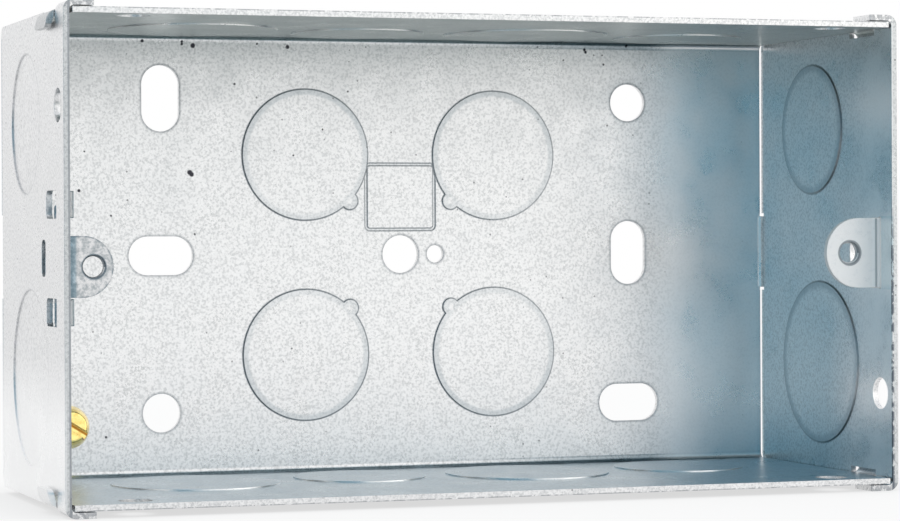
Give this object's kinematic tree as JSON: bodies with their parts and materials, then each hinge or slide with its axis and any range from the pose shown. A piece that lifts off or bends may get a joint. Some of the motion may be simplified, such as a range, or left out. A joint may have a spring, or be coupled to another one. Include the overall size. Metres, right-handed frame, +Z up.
{
  "type": "metal back box",
  "caption": "Folded sheet-metal wall box with round knockouts, fixing slots, a fixed and a sliding accessory lug and a brass earth screw.",
  "frame": {"origin": "on the outer face of the back, at the centre of the middle fixing hole", "axes": "+X along the box towards the fixed lug, +Y out of the back towards the wall, +Z up; the open front faces -Y"},
  "size_m": [0.1346, 0.047, 0.0738],
  "materials": {
    "galvanised_sheet": "dull galvanised, fine speckle",
    "plated_lug": "dull galvanised",
    "brass": "bright turned brass"
  },
  "bodies": {
    "box": {"box_body": "galvanised_sheet", "earth_screw": "brass"},
    "lug": {"adjustable_lug": "plated_lug"}
  },
  "joints": [
    {"name": "lug_slide", "type": "slide", "parent": "box", "child": "lug", "axis": [0, 0, 1], "range_m": [0, 0.0024]}
  ]
}
